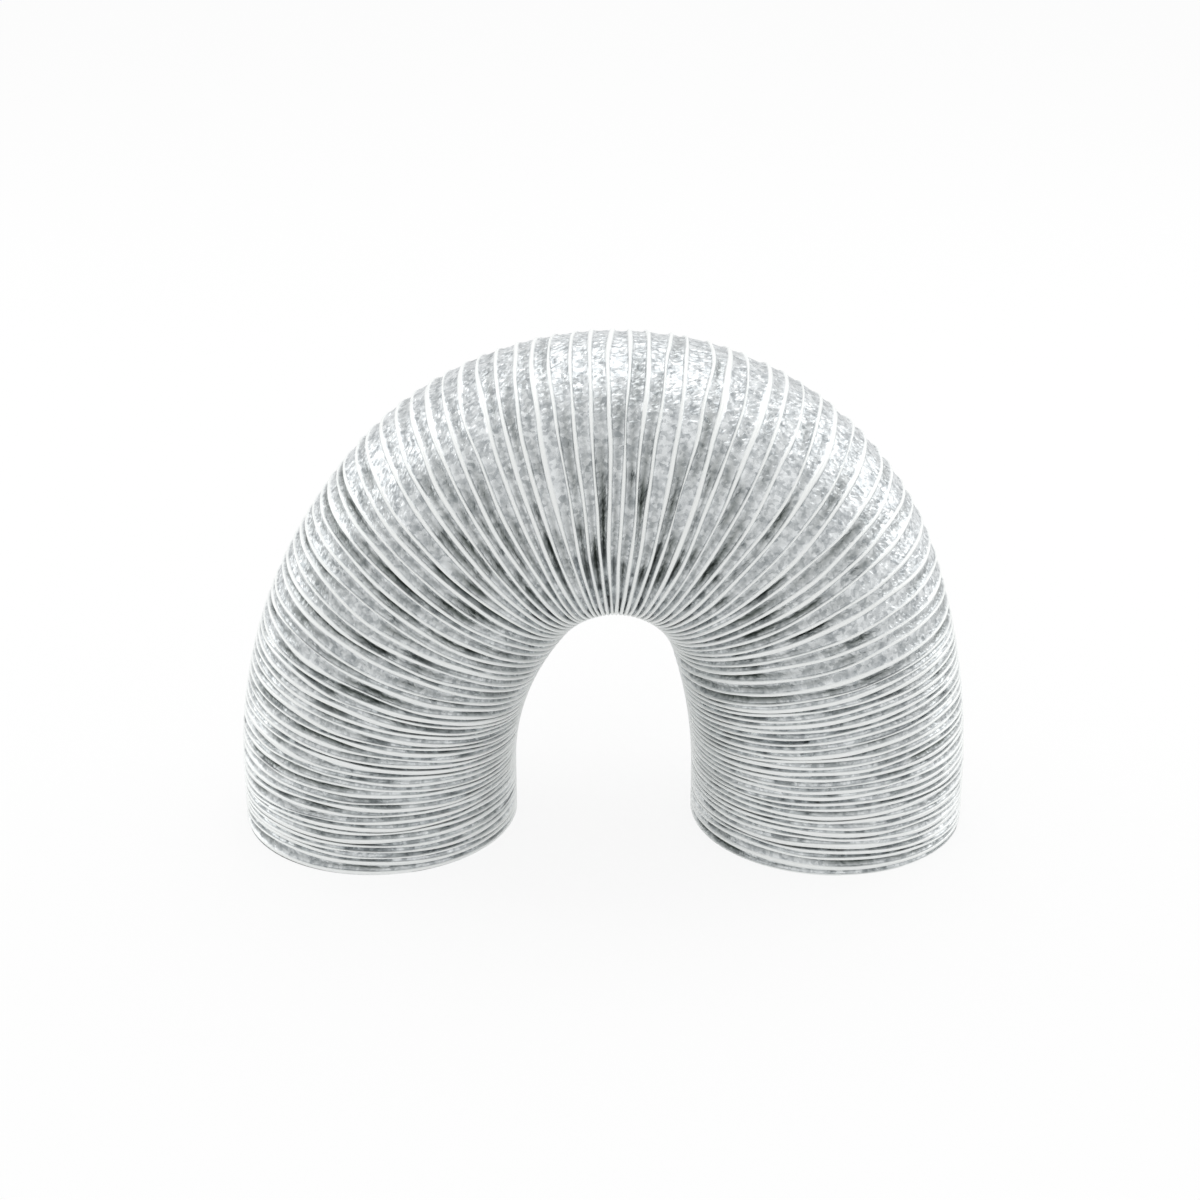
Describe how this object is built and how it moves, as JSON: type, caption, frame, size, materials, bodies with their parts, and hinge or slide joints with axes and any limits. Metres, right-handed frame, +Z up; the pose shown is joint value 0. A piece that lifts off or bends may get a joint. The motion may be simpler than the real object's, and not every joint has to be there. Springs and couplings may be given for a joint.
{
  "type": "flexible air duct",
  "caption": "Bare flexible air duct of aluminium foil laminate on a spring wire helix, pushed together and bent into an arch that stands on its open ends.",
  "frame": {"origin": "on the ground, midway between the centres of the two open ends", "axes": "+X along the span towards the end with the more steeply pushed turns above it, +Y from front to back, +Z up through the crown"},
  "size_m": [0.273, 0.103, 0.1896],
  "materials": {
    "inner_foil": "bright, crumpled foil laminate",
    "spring_wire": "bare drawn spring steel",
    "outer_foil": "bright foil drawn tight over the wire"
  },
  "bodies": {
    "left_end": {"left_end_foil": "inner_foil", "left_end_wire": "spring_wire", "left_end_cover": "outer_foil", "left_end_bellows_foil": "inner_foil", "left_end_bellows_wire": "spring_wire", "left_end_bellows_cover": "outer_foil"},
    "left_leg": {"left_leg_foil": "inner_foil", "left_leg_wire": "spring_wire", "left_leg_cover": "outer_foil", "left_leg_bellows_foil": "inner_foil", "left_leg_bellows_wire": "spring_wire", "left_leg_bellows_cover": "outer_foil"},
    "left_haunch": {"left_haunch_foil": "inner_foil", "left_haunch_wire": "spring_wire", "left_haunch_cover": "outer_foil", "left_haunch_bellows_foil": "inner_foil", "left_haunch_bellows_wire": "spring_wire", "left_haunch_bellows_cover": "outer_foil"},
    "left_crown": {"left_crown_foil": "inner_foil", "left_crown_wire": "spring_wire", "left_crown_cover": "outer_foil"},
    "right_crown": {"right_crown_foil": "inner_foil", "right_crown_wire": "spring_wire", "right_crown_cover": "outer_foil", "crown_bellows_foil": "inner_foil", "crown_bellows_wire": "spring_wire", "crown_bellows_cover": "outer_foil"},
    "right_haunch": {"right_haunch_foil": "inner_foil", "right_haunch_wire": "spring_wire", "right_haunch_cover": "outer_foil", "right_haunch_bellows_foil": "inner_foil", "right_haunch_bellows_wire": "spring_wire", "right_haunch_bellows_cover": "outer_foil"},
    "right_leg": {"right_leg_foil": "inner_foil", "right_leg_wire": "spring_wire", "right_leg_cover": "outer_foil", "right_leg_bellows_foil": "inner_foil", "right_leg_bellows_wire": "spring_wire", "right_leg_bellows_cover": "outer_foil"},
    "right_end": {"right_end_foil": "inner_foil", "right_end_wire": "spring_wire", "right_end_cover": "outer_foil", "right_end_bellows_foil": "inner_foil", "right_end_bellows_wire": "spring_wire", "right_end_bellows_cover": "outer_foil"}
  },
  "joints": [
    {"name": "left_haunch_bend", "type": "hinge", "parent": "left_crown", "child": "left_haunch", "pos_m": [-0.04176, 0, 0.12187], "axis": [0, 1, 0], "range_deg": [0, 30], "deforming": ["left_haunch_bellows_foil", "left_haunch_bellows_wire", "left_haunch_bellows_cover"]},
    {"name": "left_leg_bend", "type": "hinge", "parent": "left_haunch", "child": "left_leg", "pos_m": [-0.07447, 0, 0.07449], "axis": [0, 1, 0], "range_deg": [-5, 25], "deforming": ["left_leg_bellows_foil", "left_leg_bellows_wire", "left_leg_bellows_cover"]},
    {"name": "left_end_stretch", "type": "slide", "parent": "left_leg", "child": "left_end", "axis": [0, 0, -1], "range_m": [-0.003, 0.1], "deforming": ["left_end_bellows_foil", "left_end_bellows_wire", "left_end_bellows_cover"]},
    {"name": "crown_bend", "type": "hinge", "parent": "left_crown", "child": "right_crown", "pos_m": [0.01584, 0, 0.13717], "axis": [0, -1, 0], "range_deg": [0, 30], "deforming": ["crown_bellows_foil", "crown_bellows_wire", "crown_bellows_cover"]},
    {"name": "right_haunch_bend", "type": "hinge", "parent": "right_crown", "child": "right_haunch", "pos_m": [0.06763, 0, 0.10146], "axis": [0, -1, 0], "range_deg": [0, 30], "deforming": ["right_haunch_bellows_foil", "right_haunch_bellows_wire", "right_haunch_bellows_cover"]},
    {"name": "right_leg_bend", "type": "hinge", "parent": "right_haunch", "child": "right_leg", "pos_m": [0.08193, 0, 0.05426], "axis": [0, -1, 0], "range_deg": [-4, 10], "deforming": ["right_leg_bellows_foil", "right_leg_bellows_wire", "right_leg_bellows_cover"]},
    {"name": "right_end_stretch", "type": "slide", "parent": "right_leg", "child": "right_end", "axis": [0, 0, -1], "range_m": [-0.003, 0.1], "deforming": ["right_end_bellows_foil", "right_end_bellows_wire", "right_end_bellows_cover"]}
  ]
}
